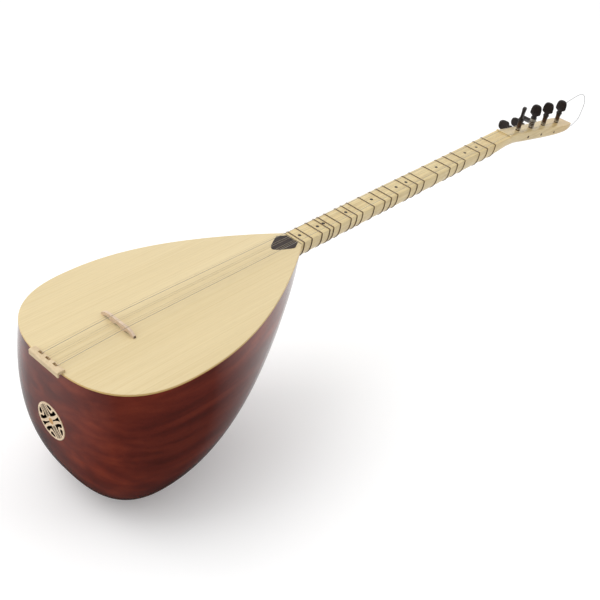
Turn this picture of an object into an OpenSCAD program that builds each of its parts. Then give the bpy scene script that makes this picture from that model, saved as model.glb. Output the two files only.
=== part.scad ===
// Long-necked saz: carved half-pear bowl, flat soundboard, tied frets and seven pegs.
// Millimetres. +X runs from the tail to the head, +Z is up off the soundboard.
// The origin is under the middle of the whole length, at the lowest point of the bowl.

/* [Bowl] */
// Length of the soundboard, tail to neck
bowl_len = 426; // [380:1:460]
// Depth of the bowl below the soundboard's top face
bowl_depth = 256; // [200:1:280]
// Greatest half width of the soundboard
bowl_half = 138.3; // [110:0.1:150]
// Wall of the carved bowl
bowl_wall = 4; // [3:0.5:8]
// Distance from the tail to the widest place
wide_x = 131.6; // [100:0.1:180]
// Distance from the tail to the deepest place
deep_x = 164.4; // [120:0.1:200]
// Half width where the soundboard meets the neck
join_half = 18.5; // [16:0.1:22]

/* [Soundboard] */
// Thickness of the soundboard
board_t = 3; // [2:0.1:5]
// Width of the braces glued under it
brace_w = 7; // [4:1:12]
// Height of those braces
brace_h = 9; // [5:1:15]

/* [Rosette] */
// Radius of the sound hole's rosette
rose_r = 28; // [20:0.5:34]
// Depth of its centre below the soundboard
rose_z = 100; // [80:1:140]
// Thickness of the rosette
rose_t = 2.5; // [1.5:0.1:4]

/* [Neck] */
// Distance from the tail to the nut
nut_x = 976; // [900:1:1000]
// Half width of the neck at the nut
neck_half = 16.4; // [13:0.1:18]
// Half width of the neck at the bowl
heel_half = 18.2; // [15:0.1:20]
// Depth of the neck at the bowl
heel_deep = 32.5; // [26:0.1:38]
// Depth of the neck at the first fret
neck_deep = 31; // [24:0.1:36]
// Depth of the neck at the nut
nut_deep = 25.5; // [18:0.1:30]
// Vibrating length of the open strings, nut to bridge
scale_len = 869; // [820:1:900]

/* [Frets] */
// Width of a tied fret's turns along the neck
fret_w = 2.6; // [1.5:0.1:4]
// Thickness of the tied cord
fret_t = 0.9; // [0.5:0.05:1.4]
// Room between a fret and the neck
fret_gap = 0.1; // [0.05:0.01:0.3]

/* [Head] */
// Backward tilt of the headstock
head_tilt = 11; // [5:0.5:20]
// Length of the headstock
head_len = 242; // [200:1:280]
// Radius of a peg where it enters the wood
peg_r = 4.2; // [3:0.1:5]
// Radius of a peg at its thin end
peg_tip_r = 2.4; // [2:0.1:4.2]
// Room between a peg and its hole
peg_gap = 0.05; // [0.02:0.01:0.1]
// Height of a peg's top above the wood
peg_top = 46; // [35:1:60]
// Width of the peg's flat paddle
paddle_w = 20; // [14:0.5:24]
// Thickness of the paddle
paddle_t = 8; // [5:0.5:12]

/* [Strings] */
// Gauge of the plain strings
plain_d = 0.3; // [0.18:0.01:0.4]
// Gauge of the wound strings
wound_d = 0.6; // [0.4:0.01:0.9]
// Gauge of the loose string end
loose_d = 0.8; // [0.3:0.1:1.2]

/* [Hidden] */
$fn = 48;
// Glue line left between two pieces of the body
glue = 0.1;
// Tail end of the whole instrument, set by the tailpiece
tail_x = -5.5;
// The head starts just past the nut
head_x = nut_x + 4;
tip_x = head_x + head_len * cos(head_tilt);
mid_x = (tail_x + tip_x) / 2;
bridge_x = nut_x - scale_len;
// Superellipse exponents of the bowl: outline, profile at tail and neck, cross-section
outline_e = 2.585;
taper_e = 0.934;
tail_e = 4.57;
bow_e = 1.45;
round_e = 2.63;
// Swell of the sides and of the tail below the soundboard
side_swell = 0.138;
tail_swell = 3.2;
// Share of the depth over which the neck end stays upright
bow_flat = 0.12;
// Solid wood left at the neck end of the bowl
nose = 34;
// Steps down the bowl and along one side of it
rows = 22;
cols = 26;
// Tenon of the neck in the bowl
tenon = [30, 22, 20];
// String grooves at the tailpiece and bridge, and at the nut
groove_y = [15.9, 12.1, 1.5, -2.1, -12.1, -15.7, -19.1];
nut_y = [10.6, 7.8, 1.6, -1.6, -7.2, -9.8, -12.2];
string_d = [plain_d, wound_d, plain_d, plain_d, plain_d, plain_d, wound_d];
bridge_h = 9;
// Height of the strings over the nut
nut_h = 1.8;
// Half width of the slot behind each course in the tailpiece
slot_half = 4;
// How far the tailpiece reaches down over the bowl's end
lip = 4;
// Places of the pegs along the head: four through the face, three through the side
front_s = [47, 95.5, 143, 196];
side_s = [69, 117, 165];
// Depth of the side pegs below the face
side_n = 10;
// Curve across the faces of a paddle
lens = 18;
// Fret ratios, string length over sounding length, nut to body
ratio = [18 / 17, 12 / 11, 9 / 8, 81 / 68, 27 / 22, 81 / 64, 4 / 3, 24 / 17,
  16 / 11, 3 / 2, 27 / 17, 18 / 11, 27 / 16, 16 / 9, 32 / 17, 64 / 33, 2,
  36 / 17, 11 / 5, 9 / 4, 40 / 17, 5 / 2, 21 / 8];
// The frets are laid out for this length, with the bridge drawn back to stay in tune
fret_len = 880;
// Frets that carry a position dot on their body side
dot_at = [22, 20, 19, 16, 13, 10, 9, 6, 3, 2];
dot_r = 2.7;

function sup(t, e) = pow(max(0, 1 - pow(min(1, max(0, t)), e)), 1 / e);
function spow(v, e) = sign(v) * pow(abs(v), e);
// Ends, half width and neck-end half width of the bowl at a share t of its depth
function tail_at(t) = deep_x - deep_x * sup(t, tail_e) - tail_swell * 4 * t * (1 - t);
function bow_at(t) = deep_x + (bowl_len - deep_x) * sup((t - bow_flat) / (1 - bow_flat), bow_e);
function swell_at(t) = sup(t, round_e) * (1 + side_swell * 4 * t * (1 - t));
function end_at(t) = join_half * pow(1 - t, 3);
// Half width of the soundboard's outline at x
function outline(x, e) = x < wide_x
  ? bowl_half * pow(max(0, 1 - pow((wide_x - x) / wide_x, outline_e)), 1 / outline_e)
  : e + (bowl_half - e) * pow(max(0, cos(90 * (x - wide_x) / (bowl_len - wide_x))), taper_e);
function bowl_half_at(s, t) = swell_at(t) * outline(s * bowl_len, end_at(t));
// Steps along one side, closer together at the blunt tail
function step(j) = pow(j / cols, 1.8);
// One level ring of the bowl, z below the top, drawn in by w and by n at the neck end
function ring(t, z, w, n) = let (a = tail_at(t), b = bow_at(t)) concat(
  [for (j = [0 : cols]) let (s = step(j))
    [a + w + (b - a - w - n) * s, max(0.4, bowl_half_at(s, t) - w), -z]],
  [for (j = [0 : cols]) let (s = step(cols - j))
    [a + w + (b - a - w - n) * s, -max(0.4, bowl_half_at(s, t) - w), -z]]);
function down(i) = sin(90 * i / rows * 0.995);
// Faces between m successive rings of k points, then a fan to a middle point at each end
function loft_faces(m, k) = concat(
  [for (i = [0 : m - 2], j = [0 : k - 1]) [i * k + j, i * k + (j + 1) % k, (i + 1) * k + j]],
  [for (i = [0 : m - 2], j = [0 : k - 1])
    [i * k + (j + 1) % k, (i + 1) * k + (j + 1) % k, (i + 1) * k + j]],
  [for (j = [0 : k - 1]) [m * k, (j + 1) % k, j]],
  [for (j = [0 : k - 1]) [m * k + 1, (m - 1) * k + j, (m - 1) * k + (j + 1) % k]]);
function middle(r, i = 0) = i == len(r) - 1 ? r[i] / len(r) : r[i] / len(r) + middle(r, i + 1);
function flat_list(a) = [for (r = a) for (q = r) q];

module loft(sections) {
  m = len(sections);
  polyhedron(concat(flat_list(sections), [middle(sections[0]), middle(sections[m - 1])]),
    loft_faces(m, len(sections[0])), convexity = 6);
}

// The whole instrument is drawn from its tail and moved to the shared origin
module place() {
  translate([-mid_x, 0, bowl_depth]) children();
}

// Head axes: X along the head, Z off its face
module on_head() {
  translate([head_x, 0, 0]) rotate([0, head_tilt, 0]) children();
}

// D-shaped section, flat on top: half width w, depth d, exponent e
function dee(w, d, e) = concat([for (i = [0 : 16]) let (a = 180 * i / 16)
  [w * spow(cos(a), 2 / e), -d * spow(sin(a), 2 / e)]]);
function on_x(x, p) = [for (q = p) [x, q[0], q[1]]];
function on_tilt(s, p) = [for (q = p)
  [head_x + s * cos(head_tilt) + q[1] * sin(head_tilt), q[0],
   -s * sin(head_tilt) + q[1] * cos(head_tilt)]];
function mix(a, b, f) = a + (b - a) * f;
// Half width and depth of the neck at x
function neck_w(x) = mix(heel_half, neck_half, (x - bowl_len) / (head_x - bowl_len));
function neck_d(x) = mix(heel_deep, neck_deep, (x - bowl_len) / (930 - bowl_len));

// Thin tube of flat faces through a list of points
function unit(v) = v / max(norm(v), 0.000001);
function tube_ring(p, d, r, n) = let (u = unit(cross(d, [0.1, 1, 0.05])), w = unit(cross(d, u)))
  [for (k = [0 : n - 1]) p + r * (cos(360 * k / n) * u + sin(360 * k / n) * w)];
module tube(pts, r, n) {
  m = len(pts);
  loft([for (i = [0 : m - 1])
    tube_ring(pts[i], unit(pts[min(i + 1, m - 1)] - pts[max(i - 1, 0)]), r, n)]);
}

// Rings of the outer skin from the bottom up, then of the inner skin back down
function skin(w, n, deep) = [for (i = [0 : rows]) let (t = down(i))
  ring(t, board_t + (deep - board_t) * t, w, n * pow(1 - t, 6))];
function turned(a) = [for (i = [len(a) - 1 : -1 : 0]) a[i]];

module bowl() {
  color([0.45, 0.2, 0.13]) place() difference() {
    loft(concat(turned(skin(0, 0, bowl_depth)),
      skin(bowl_wall, nose - bowl_wall, bowl_depth - bowl_wall)));
    translate([-20, 0, -rose_z]) rotate([0, 90, 0]) cylinder(h = 40, r = rose_r + glue);
    translate([bowl_len - tenon[0] - glue, -tenon[1] / 2 - glue, -tenon[2] - board_t - glue])
      cube([tenon[0] + 10, tenon[1] + 2 * glue, tenon[2] + 20]);
  }
}

module board_outline(in) {
  polygon([for (p = ring(0, 0, in, 0)) [p[0], p[1]]]);
}

module soundboard() {
  color([0.92, 0.84, 0.66]) place() difference() {
    translate([0, 0, -board_t + 0.02]) linear_extrude(board_t - 0.02) board_outline(0);
    translate([0, 0, -1]) linear_extrude(2) leaf(glue);
    translate([bowl_len - 1.5 - glue, -30, -1]) cube([3, 60, 2]);
  }
}

// Two bars across the board, kept clear of the bowl's wall
module soundboard_braces() {
  color([0.85, 0.74, 0.52]) place() {
    for (b = [[205, 118], [300, 76]])
      translate([b[0], -b[1], -board_t - brace_h]) cube([brace_w, 2 * b[1], brace_h]);
  }
}

// Pierced plate, in the pattern's own axes: a bone-shaped slot each side of the boss along X,
// four straight slots each side along Y, and a hook and a leaf in every quarter
rose_turn = 138;
bone = [[6, -1.2], [12, -1], [17, -1.5], [26, -3.6], [26, 3.6], [17, 1.5], [12, 1], [6, 1.2]];
hook = [[5.4, 6], [16, 5.4], [21, 6.2], [25, 7.6], [22, 11.5], [18.2, 12], [14, 9.6], [10.4, 10.2],
  [8.6, 13], [7.4, 17.5], [7.2, 24.5], [5.6, 25]];
leaf_slot = [[10, 20], [11.2, 15.6], [14.2, 13.2], [17.6, 14], [18.6, 16.6], [15.6, 20], [11, 23.4]];
comb_x = [-3.5, -1, 1.5];
comb_w = 1.6;
module rose_holes() {
  intersection() {
    circle(r = rose_r - 2.8);
    rotate(rose_turn) {
      for (a = [-1, 1]) scale([a, 1]) polygon(bone);
      for (a = [-1, 1], x = comb_x) scale([1, a]) translate([x, 7]) square([comb_w, 20]);
      for (a = [-1, 1], b = [-1, 1]) scale([a, b]) {
        polygon(hook);
        polygon(leaf_slot);
      }
    }
  }
}

module rosette() {
  color([0.9, 0.8, 0.62]) place()
    translate([-3, 0, -rose_z]) rotate([90, 0, 90]) linear_extrude(rose_t) difference() {
      circle(r = rose_r);
      rose_holes();
    }
}

// Thin dark strip across the neck end of the soundboard
module edge_line() {
  color([0.35, 0.2, 0.1]) place() translate([bowl_len - 1.5, -join_half, -1 + glue])
    cube([1.5, 2 * join_half, 1 - glue]);
}

// Half of the leaf's outline: places along its length with half widths
leaf_pts = [[381.5, 0], [383.2, 3.4], [388, 8], [393.5, 11.2], [399, 14.2], [404.5, 17.2],
  [409.5, 19.4], [413, 18.4], [418.5, 15.2], [424, 12]];
module leaf(out) {
  offset(delta = out) polygon(concat(leaf_pts,
    [for (i = [len(leaf_pts) - 1 : -1 : 1]) [leaf_pts[i][0], -leaf_pts[i][1]]]));
}

module inlay_leaf() {
  color([0.16, 0.1, 0.09]) place() translate([0, 0, -1]) linear_extrude(1.2) leaf(0);
}

module neck() {
  color([0.86, 0.77, 0.56]) place() difference() {
    union() {
      loft([
        on_x(bowl_len + glue, dee(heel_half, heel_deep, 2.2)),
        on_x(930, dee(neck_w(930), neck_deep, 2.2)),
        on_x(head_x, dee(neck_half, nut_deep, 2.3))]);
      translate([bowl_len - tenon[0], -tenon[1] / 2, -tenon[2] - board_t])
        cube([tenon[0] + 1, tenon[1], tenon[2]]);
    }
    for (i = dot_at) translate([dot_x(i), 0, -1]) cylinder(h = 3, r = dot_r + glue);
    translate([nut_x, -30, -2]) cube([3, 60, 4]);
  }
}

function fret_x(i) = nut_x - fret_len * (1 - 1 / ratio[i - 1]);
// A dot sits between fret i and the next one toward the body
function dot_x(i) = (fret_x(i) + fret_x(i + 1)) / 2;

module position_dots() {
  color([0.12, 0.08, 0.07]) place()
    for (i = dot_at) translate([dot_x(i), 0, -0.98]) cylinder(h = 1, r = dot_r);
}

// Grooved strip let into the neck
module nut() {
  color([0.93, 0.87, 0.72]) place() difference() {
    translate([nut_x + glue, -neck_half + 0.4, -2 + glue])
      cube([3 - 2 * glue, 2 * neck_half - 0.8, 2 + nut_h]);
    for (k = [0 : 6]) translate([nut_x - 1, nut_y[k], nut_h])
      rotate([0, 90, 0]) cylinder(h = 6, r = string_d[k] / 2 + 0.2, $fn = 8);
  }
}

// Sections of the headstock: place, half width, depth, exponent
head_cut = [[22, 15.2, 21, 3], [60, 14.9, 20.5, 4], [110, 16, 20.5, 4.5], [160, 17.6, 20, 4.5],
  [205, 18.7, 17.5, 4.2], [222, 17.8, 15, 4], [234, 15, 13, 3.4]];

module headstock() {
  color([0.82, 0.72, 0.5]) place() difference() {
    loft(concat([on_x(head_x + 0.02, dee(neck_half, nut_deep, 2.3))],
      [for (c = head_cut) on_tilt(c[0], dee(c[1], c[2], c[3]))],
      [on_tilt(head_len, dee(6, 11, 3))]));
    for (k = [0 : 6]) peg_axes(k) peg_cone(peg_gap, 1);
    on_head() translate([226, -8, -7.5]) rotate([0, 102, 5]) cylinder(h = 40, r = 1.2);
  }
}

// Each peg's own axes: Z runs along the peg, zero where it enters the wood
module peg_axes(k) {
  on_head() {
    if (k < 4) translate([front_s[k], 0, 0]) children();
    if (k > 3) translate([side_s[k - 4], side_y(k), -side_n]) rotate([-90, 0, 0]) children();
  }
}
// Side of the head at a side peg
function side_y(k) = [15.2, 16.3, 17.7][k - 4];
function peg_len(k) = k < 4 ? [20.6, 20.5, 20, 17.9][k] : 2 * side_y(k);
function peg_turn(k) = [20, 105, 112, 98, 88, 15, 35][k];
// The side pegs are pushed further in
function peg_in(k) = k < 4 ? 0 : 8;

// Tapered shaft, from below the wood to the foot of the paddle
module peg_cone(g, over, top = 22) {
  slope = (peg_r - peg_tip_r) / 32;
  translate([0, 0, -36 - over])
    cylinder(h = 36 + over + top, r1 = peg_r - slope * (36 + over) + g, r2 = peg_r + slope * top + g);
}

module paddle_shape() {
  w = paddle_w / 2;
  h = peg_top;
  right = [[4.2, h - 26], [4, h - 21.5], [w - 3.6, h - 19.8], [w - 0.6, h - 18], [w, h - 15.5],
    [w - 0.4, h - 7], [w - 2, h - 2.8], [w - 5, h - 0.6]];
  polygon(concat(right, [[0, h]], [for (i = [7 : -1 : 0]) [-right[i][0], right[i][1]]]));
}

module peg(k) {
  color([0.13, 0.09, 0.08]) place() peg_axes(k) rotate([0, 0, peg_turn(k)]) {
    difference() {
      peg_cone(0, 0, 24 - peg_in(k));
      translate([0, 0, -50 - peg_len(k)]) cylinder(h = 50, r = 12);
    }
    translate([0, 0, -peg_in(k)]) intersection() {
      translate([0, paddle_t / 2, 0]) rotate([90, 0, 0]) linear_extrude(paddle_t) paddle_shape();
      translate([0, -lens, 18]) cylinder(h = 30, r = lens + paddle_t / 2);
      translate([0, lens, 18]) cylinder(h = 30, r = lens + paddle_t / 2);
    }
  }
}

// Turns of string between the wood and the paddle
wind_h = [7, 9, 7, 6, 6, 6, 6];
module winding(k) {
  color([0.8, 0.8, 0.78]) place() peg_axes(k) difference() {
    translate([0, 0, 2]) cylinder(h = wind_h[k], r = peg_r + 1.1);
    peg_cone(0, 0);
  }
}

// Place on a string's peg where the turns begin, in the tail's axes
function head_pt(s, y, n) = [head_x + s * cos(head_tilt) + n * sin(head_tilt), y,
  -s * sin(head_tilt) + n * cos(head_tilt)];
// Which peg each string goes to, counted from the far side
string_peg = [4, 5, 6, 0, 1, 2, 3];
function peg_pt(k) = k < 4
  ? head_pt(front_s[k], k == 0 ? 5.6 : -5.6, 4.5)
  : head_pt(side_s[k - 4], side_y(k) + 4.5, -side_n + 5.6);
module string(k) {
  p = string_peg[k];
  nut_pt = [nut_x + 1.5, nut_y[k], nut_h + string_d[k] / 2];
  edge_pt = p < 4 ? [] : [head_pt(side_s[p - 4] * 0.62, side_y(p) + 0.2, 0.8)];
  color([0.75, 0.75, 0.74]) place() tube(concat([
    [2, groove_y[k], 1],
    [2.5, groove_y[k], 4.2 + string_d[k] / 2],
    [bridge_x, groove_y[k], bridge_h + string_d[k] / 2],
    nut_pt], edge_pt, [peg_pt(p)]), string_d[k] / 2, 6);
}

// Bar over the tail edge, with a groove for each course
module tailpiece() {
  color([0.9, 0.8, 0.64]) place() difference() {
    union() {
      translate([-0.5, 0, 0.02]) intersection() {
        translate([-5, -30.5, 0]) cube([11, 60, 4.2]);
        translate([0.5, 0, -5.8]) rotate([90, 0, 0]) cylinder(h = 80, r = 10.6, center = true);
      }
      translate([-5.5, -30.5, -lip]) cube([2.2, 60, 1 + lip]);
    }
    for (y = [14, -0.3, -15.6]) translate([0.3, y - slot_half, 0.5])
      cube([3.6, 2 * slot_half, 10]);
    for (k = [0 : 6]) translate([2, groove_y[k], 4.2 + string_d[k] / 2])
      rotate([0, 90, 0]) cylinder(h = 12, r = string_d[k] / 2 + 0.1, $fn = 8);
  }
}

// Low bridge on feet, with two arches under it and a groove for every string
module bridge() {
  color([0.88, 0.78, 0.6]) place() translate([bridge_x, 0, 0.02]) difference() {
    rotate([90, 0, 90]) translate([0, 0, -2]) linear_extrude(4) polygon([[-34, 0], [-33, 3.2],
      [-27, 7.4], [-20, bridge_h], [20, bridge_h], [27, 7.4], [33, 3.2], [34, 0]]);
    for (y = [-21, 0, 21]) translate([-5, y, -1.5]) scale([1, 1.6, 1]) rotate([0, 90, 0])
      cylinder(h = 10, r = 4.4);
    for (k = [0 : 6]) translate([-5, groove_y[k], bridge_h + string_d[k] / 2])
      rotate([0, 90, 0]) cylinder(h = 10, r = string_d[k] / 2 + 0.25, $fn = 8);
  }
}

// A tied fret: a flat-faced band round the neck
module fret(i) {
  x = fret_x(i);
  g = fret_gap;
  color([0.42, 0.28, 0.1]) place() translate([x - fret_w / 2, 0, 0]) rotate([90, 0, 90])
    linear_extrude(fret_w) difference() {
      band(x, g + fret_t);
      band(x, g);
    }
}
module band(x, g) {
  polygon([for (q = dee(neck_w(x - 3) + g, neck_d(x) + 2 * g + 0.1, 2.2)) [q[0], q[1] + g]]);
}

// Free end of a string: hand-placed points, smoothed into an even run
loose_pts = [[1179, 4, -29], [1184, 5, -21], [1191, 3.5, -10.5], [1201, 0, -1], [1215, -2, 3],
  [1230, -2, 4], [1246, -3, 4], [1258, -4, -2], [1264, -5, -13], [1264, -6, -24],
  [1256, -7, -43], [1248, -8, -50], [1236, -8, -55], [1226, -8, -58], [1217, -7, -57.5],
  [1210, -7, -54.5]];
function catmull(a, b, c, d, f) = 0.5 * (2 * b + (c - a) * f
  + (2 * a - 5 * b + 4 * c - d) * f * f + (3 * b - a - 3 * c + d) * f * f * f);
loose_n = len(loose_pts) - 1;
loose_run = [for (i = [0 : loose_n - 1], f = [0 : 4]) catmull(
  loose_pts[max(i - 1, 0)], loose_pts[i], loose_pts[i + 1],
  loose_pts[min(i + 2, loose_n)], f / 5)];
module loose_string() {
  color([0.8, 0.8, 0.8]) place() tube(concat(loose_run, [loose_pts[loose_n]]), loose_d / 2, 8);
}

bowl();
soundboard();
soundboard_braces();
rosette();
edge_line();
inlay_leaf();
neck();
headstock();
nut();
position_dots();
tailpiece();
bridge();
string(0);  // string_1
string(1);  // string_2
string(2);  // string_3
string(3);  // string_4
string(4);  // string_5
string(5);  // string_6
string(6);  // string_7
peg(0);  // peg_1
peg(1);  // peg_2
peg(2);  // peg_3
peg(3);  // peg_4
peg(4);  // peg_5
peg(5);  // peg_6
peg(6);  // peg_7
winding(0);  // winding_1
winding(1);  // winding_2
winding(2);  // winding_3
winding(3);  // winding_4
winding(4);  // winding_5
winding(5);  // winding_6
winding(6);  // winding_7
fret(1);  // fret_1
fret(2);  // fret_2
fret(3);  // fret_3
fret(4);  // fret_4
fret(5);  // fret_5
fret(6);  // fret_6
fret(7);  // fret_7
fret(8);  // fret_8
fret(9);  // fret_9
fret(10);  // fret_10
fret(11);  // fret_11
fret(12);  // fret_12
fret(13);  // fret_13
fret(14);  // fret_14
fret(15);  // fret_15
fret(16);  // fret_16
fret(17);  // fret_17
fret(18);  // fret_18
fret(19);  // fret_19
fret(20);  // fret_20
fret(21);  // fret_21
fret(22);  // fret_22
fret(23);  // fret_23
loose_string();
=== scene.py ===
"""Long-necked saz: the looks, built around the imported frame.

Lengths inside the shape functions are millimetres from the tail edge of the soundboard's top face:
X toward the head, Y toward the side pegs, Z up. placed() turns them into the row frame's metres.
"""

import math

import bmesh
import bpy
import numpy as np
from mathutils import Matrix, Vector


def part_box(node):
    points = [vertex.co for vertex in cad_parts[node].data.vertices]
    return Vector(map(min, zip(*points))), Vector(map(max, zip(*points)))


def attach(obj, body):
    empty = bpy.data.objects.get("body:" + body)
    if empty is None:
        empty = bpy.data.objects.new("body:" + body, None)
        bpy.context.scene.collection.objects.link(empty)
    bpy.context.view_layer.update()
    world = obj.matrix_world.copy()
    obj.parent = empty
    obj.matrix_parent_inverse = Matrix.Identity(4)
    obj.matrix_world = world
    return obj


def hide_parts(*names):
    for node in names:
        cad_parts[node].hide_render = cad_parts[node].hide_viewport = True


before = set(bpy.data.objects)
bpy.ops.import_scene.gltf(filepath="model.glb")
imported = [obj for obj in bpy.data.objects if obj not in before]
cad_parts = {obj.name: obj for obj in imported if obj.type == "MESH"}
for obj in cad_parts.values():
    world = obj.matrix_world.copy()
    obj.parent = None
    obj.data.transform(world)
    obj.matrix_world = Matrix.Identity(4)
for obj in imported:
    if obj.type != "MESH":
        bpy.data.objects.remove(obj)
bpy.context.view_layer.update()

MM = 0.001
BOARD_LOW, BOARD_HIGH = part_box("soundboard")

# Bowl and soundboard
BOWL_LEN = 426.0
BOWL_DEPTH = 256.0
BOWL_HALF = 138.3
BOWL_WALL = 4.0
WIDE_X = 131.6
DEEP_X = 164.4
JOIN_HALF = 18.5
NOSE = 34.0
BOARD_T = 3.0
OUTLINE_E = 2.585
TAPER_E = 0.934
TAIL_E = 4.57
BOW_E = 1.45
ROUND_E = 2.63
SIDE_SWELL = 0.138
TAIL_SWELL = 3.2
BOW_FLAT = 0.12
ROSE_R = 28.0
ROSE_Z = 100.0
BOWL_ROWS = 97
BOWL_COLS = 110
INNER_COLS = 48

# Neck, frets and nut
NUT_X = 976.0
HEAD_X = 980.0
NECK_HALF = 16.4
HEEL_HALF = 18.2
HEEL_DEEP = 32.5
NECK_DEEP = 31.0
NUT_DEEP = 25.5
DEEP_END_X = 930.0
NUT_H = 1.8
SCALE_LEN = 869.0
BRIDGE_X = NUT_X - SCALE_LEN
BRIDGE_H = 9.0
TAILPIECE_H = 4.2
FRET_LEN = 880.0
FRET_CORD = 0.84
FRET_GAP = 0.1
FRET_TURNS = 3
KNOT_SIZE = 0.46
KNOT_OUT = 0.35
KNOT_THICK = 0.5
KNOT_DOWN = 2.4
DOT_HOLE_R = 2.8
NUT_W = 3.0

# Head and pegs
TILT = math.radians(11)
HEAD_LEN = 242.0
FRONT_PEGS = 4
PEGS = 7
PEG_R = 4.2
PEG_SLOPE = (4.2 - 2.4) / 32
PEG_GAP = 0.05
FRONT_S = (47.0, 95.5, 143.0, 196.0)
SIDE_S = (69.0, 117.0, 165.0)
SIDE_Y = (15.2, 16.3, 17.7)
SIDE_N = 10.0
PEG_TURN = (20, 105, 112, 98, 88, 75, 35)
PEG_LEN = (20.6, 20.5, 20.0, 17.9, 30.4, 32.6, 35.4)
PEG_IN = (0, 0, 0, 0, 8, 8, 8)
PEG_FOOT = 19.0
TIP_HOLE = (226, -8, -7.5)
TIP_HOLE_R = 1.2
TIP_HOLE_TURN = math.radians(113)

# Strings, counted from the far side, with the peg that each goes to
GROOVE_Y = (15.9, 12.1, 1.5, -2.1, -12.1, -15.7, -19.1)
NUT_Y = (10.6, 7.8, 1.6, -1.6, -7.2, -9.8, -12.2)
STRING_D = (0.3, 0.6, 0.3, 0.3, 0.3, 0.3, 0.6)
STRING_PEG = (4, 5, 6, 0, 1, 2, 3)
WOUND_FROM = 0.5
WRAP_OUT = 5.6
WRAP_UP = 4.5
LOOSE_D = 0.8

# Turns of string on a peg: its radius, and (height, turns so far)
THICK_PEG = 1
THICK_TURNS = (0.5, ((2.6, 0), (5.0, 3), (13.0, 5.5), (18.0, 12)))
THIN_TURNS = (0.17, ((2.4, 0), (4.2, 5), (7.0, 8)))

# The frets after which a dot stands halfway to the next one
DOT_AFTER = (22, 20, 19, 16, 13, 10, 9, 6, 3, 2)

# Woods and metals: light tone, then dark tone
BRACE_TONES = ((0.72, 0.56, 0.32), (0.60, 0.44, 0.23))
ROSE_TONES = ((0.86, 0.70, 0.50), (0.72, 0.54, 0.36))
TAILPIECE_TONES = ((0.70, 0.56, 0.36), (0.58, 0.43, 0.25))
BRIDGE_TONES = ((0.74, 0.58, 0.44), (0.62, 0.47, 0.34))
NUT_TONES = ((0.72, 0.585, 0.33), (0.64, 0.50, 0.26))
INLAY_TONES = ((0.055, 0.034, 0.026), (0.006, 0.003, 0.002))
EDGE_TONES = ((0.17, 0.085, 0.035), (0.06, 0.028, 0.012))
NECK_TONES = ((0.78, 0.64, 0.345), (0.66, 0.50, 0.235))
HEAD_TONES = ((0.72, 0.575, 0.30), (0.58, 0.42, 0.19))
PLAIN_TONES = ((0.58, 0.51, 0.38), (0.42, 0.36, 0.26))
WOUND_TONES = ((0.44, 0.41, 0.36), (0.30, 0.28, 0.24))
WOUND_RIBS = 1200.0
# Painted shade: dark colours painted on the walls of the rosette's openings and on the bridge's end
# faces and arches, in place of the shade there
ROSE_PAINTED_SHADE = (0.030, 0.014, 0.006)
BRIDGE_PAINTED_SHADE = (0.045, 0.022, 0.010)
ROSE_SPOT = (0.56, 0.30, 0.10, 1)
ROSE_SPOT_R = 4.6
NECK_WARMTH = (0.95, 0.88, 0.76, 1)
NECK_WARM_FROM = 0.25
HEAD_WARMTH = (0.95, 0.78, 0.52, 1)
HEAD_WARM_FROM = 0.5

# Camera: millimetres from the tail edge, and radians
CAMERA_AT = (-479.795, -822.747, 822.671)
CAMERA_HEADING = 0.6429
CAMERA_DIP = 0.6610
CAMERA_LEAN = 0.1424
CAMERA_LENS = 58.885
CAMERA_SHIFT = (-0.1005, 0.0243)

# Studio: the dark card's edges on the floor, the floor's glow, and lights in metres and watts
CARD_SIDE = (-0.6, 0.8, 0)
CARD_AHEAD = (0.8, 0.6, 0)
CARD_SIDE_FADE = (0.36, 0.80)
CARD_AHEAD_FADE = (-0.46, -0.16)
FLOOR_GLOW = 0.13
FLOOR_HALF = 40.0
DARK_WAY = (-0.35, -0.94, 0)
SKY = 1.03
LIGHTS_AIM = (-0.25, 0, 0.2)
LIGHTS = (
    ("key", (-1.4, 0.9, 2.6), 2.0, 2.0, 22),
    ("side", (-2.4, 0.9, 0.9), 0.9, 1.8, 5),
    ("fill", (1.2, -2.0, 1.8), 1.2, 1.6, 9),
)


# ---- Shapes as arrays ----


def placed(points):
    """Millimetres from the soundboard's tail edge, as metres in the row frame."""
    return np.asarray(points, float) * MM + np.array([BOARD_LOW.x, 0, BOARD_HIGH.z])


def stacked(x, y, z):
    """Three arrays of matching shapes as one array of points."""
    return np.stack(np.broadcast_arrays(x, y, z), axis=-1).astype(float)


def unit(v):
    """Each vector over its own length."""
    return v / np.maximum(np.linalg.norm(v, axis=-1, keepdims=True), 1e-12)


def power(v, e):
    """The size of v to the power e, with v's own sign."""
    return np.sign(v) * np.abs(v) ** e


def superellipse(t, e):
    """Height of a quarter superellipse at t: (1 - t to the e) to the 1/e."""
    return np.maximum(0, 1 - np.clip(t, 0, 1) ** e) ** (1 / e)


def eased(x, xs, ys):
    """Values at x on a smooth line through the places xs with values ys.

    Between two places it is the cubic whose slope at each is the mean of the slopes on both sides.
    """
    xs = np.asarray(xs, float)
    ys = np.asarray(ys, float)
    steps = np.diff(ys) / np.diff(xs)
    slopes = np.concatenate([steps[:1], (steps[1:] + steps[:-1]) / 2, steps[-1:]])
    flat = np.concatenate([[False], steps[1:] * steps[:-1] <= 0, [False]])
    slopes = np.where(flat, 0, slopes)
    i = np.clip(np.searchsorted(xs, x, side="right") - 1, 0, len(xs) - 2)
    h = xs[i + 1] - xs[i]
    f = np.clip((x - xs[i]) / h, 0, 1)
    rise = ys[i] * (1 + 2 * f) * (1 - f) ** 2 + ys[i + 1] * f * f * (3 - 2 * f)
    return rise + h * f * (1 - f) * (slopes[i] * (1 - f) - slopes[i + 1] * f)


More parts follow.
